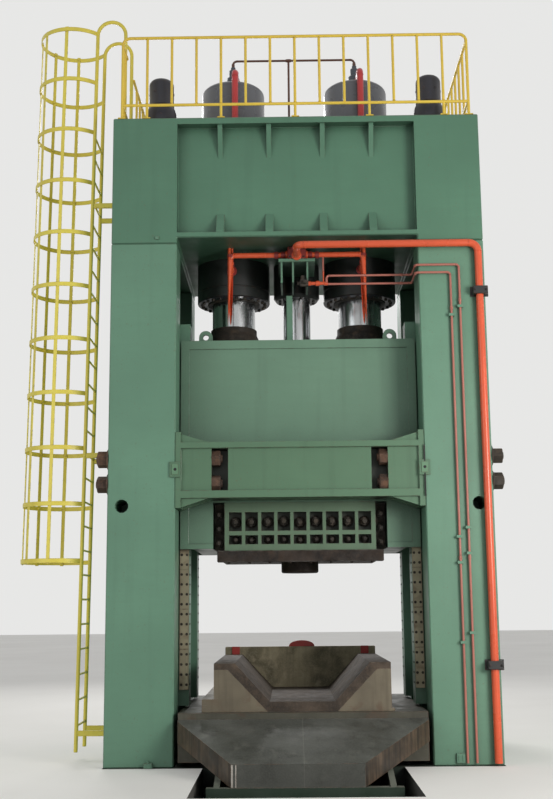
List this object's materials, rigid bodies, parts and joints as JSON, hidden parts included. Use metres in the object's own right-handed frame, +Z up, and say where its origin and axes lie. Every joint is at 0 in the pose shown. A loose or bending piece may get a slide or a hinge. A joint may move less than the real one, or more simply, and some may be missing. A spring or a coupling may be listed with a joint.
{
  "type": "hydraulic press",
  "caption": "Tall hydraulic press: tie-rod frame with a guided slide that two large rods push down onto a curved forming die on the table.",
  "frame": {"origin": "centre of the bed's underside", "axes": "+Z up along the slide's stroke, +Y from the front towards the rear, +X towards the machine's right as seen from the front"},
  "size_m": [5.5245, 3.8406, 9.8807],
  "materials": {
    "column_paint": "worn grey-green enamel, dusty and streaked, with scuffs down to primer",
    "bed_paint": "dark oily grey-green enamel",
    "crown_paint": "worn grey-green enamel with rust runs",
    "beam_green": "worn satin green enamel, oily, chipped at the edges",
    "slide_green": "worn satin green enamel with dark oil streaks",
    "holder_green": "oily dark green enamel over a rough plate",
    "adapter_rust": "brown rusted plate, rough",
    "rod_chrome": "hard chrome, polished, with a film of oil",
    "collar_brown": "dark brown oily steel",
    "cylinder_black": "near-black oily enamel",
    "head_blue": "faded blue-grey enamel",
    "valve_dark": "dark enamel, dusty",
    "nut_black": "black oxide, greasy",
    "pipe_orange": "glossy orange-red enamel",
    "pipe_red": "glossy red enamel",
    "pipe_pink": "faded pinkish red enamel",
    "pipe_brown": "brown primer",
    "clamp_black": "black enamel",
    "bracket_green": "mid green enamel",
    "railing_yellow": "chipped yellow enamel",
    "ladder_yellow": "chipped, dusty yellow enamel",
    "wear_bronze": "oily bronze",
    "table_steel": "worn bare steel, stained",
    "apron_steel": "worn grey-blue paint over rusty plate",
    "cradle_rust": "rust-brown plate with vertical streaks",
    "die_steel": "worn tool steel with rust at the edges",
    "liner_rust": "rusted forming surface, polished in the middle"
  },
  "bodies": {
    "frame": {"apron_cradle": "cradle_rust", "balance_pipe": "pipe_brown", "bed": "bed_paint", "branch_pipe_left": "pipe_red", "branch_pipe_right": "pipe_red", "centre_cap": "head_blue", "centre_cylinder": "cylinder_black", "crown": "crown_paint", "cylinder_head_left": "head_blue", "cylinder_head_right": "head_blue", "die_back_plate": "die_steel", "die_block_left": "die_steel", "die_block_right": "die_steel", "die_liner": "liner_rust", "drain_block": "pipe_orange", "drain_pipe_inner": "pipe_pink", "drain_pipe_outer": "pipe_pink", "front_apron": "apron_steel", "front_beam": "beam_green", "ladder": "ladder_yellow", "ladder_cage": "ladder_yellow", "main_cylinder_left": "cylinder_black", "main_cylinder_right": "cylinder_black", "main_pipe": "pipe_orange", "manifold": "pipe_orange", "manifold_bracket": "bracket_green", "pilot_pipe": "pipe_pink", "pipe_clamp_lower": "clamp_black", "pipe_clamp_upper": "clamp_black", "prefill_valve_left": "valve_dark", "prefill_valve_right": "valve_dark", "railing_front": "railing_yellow", "railing_left": "railing_yellow", "railing_left_front": "railing_yellow", "railing_rear": "railing_yellow", "railing_right": "railing_yellow", "rear_beam": "beam_green", "riser_pipe_left": "pipe_red", "riser_pipe_right": "pipe_red", "table": "table_steel", "tie_rod_front_left": "nut_black", "tie_rod_front_right": "nut_black", "tie_rod_rear_left": "nut_black", "tie_rod_rear_right": "nut_black", "upright_left": "column_paint", "upright_right": "column_paint", "wear_plates_front_left": "wear_bronze", "wear_plates_front_right": "wear_bronze", "wear_plates_rear_left": "wear_bronze", "wear_plates_rear_right": "wear_bronze"},
    "slide_carriage": {"adapter_plate": "adapter_rust", "centre_foot": "collar_brown", "centre_rod": "rod_chrome", "main_rod_left": "rod_chrome", "main_rod_right": "rod_chrome", "rod_collar_left": "collar_brown", "rod_collar_right": "collar_brown", "scale_post": "bracket_green", "slide": "slide_green", "tool_holder": "holder_green"}
  },
  "joints": [
    {"name": "slide_stroke", "type": "slide", "parent": "frame", "child": "slide_carriage", "axis": [0, 0, 1], "range_m": [-0.95, 0.05]}
  ]
}
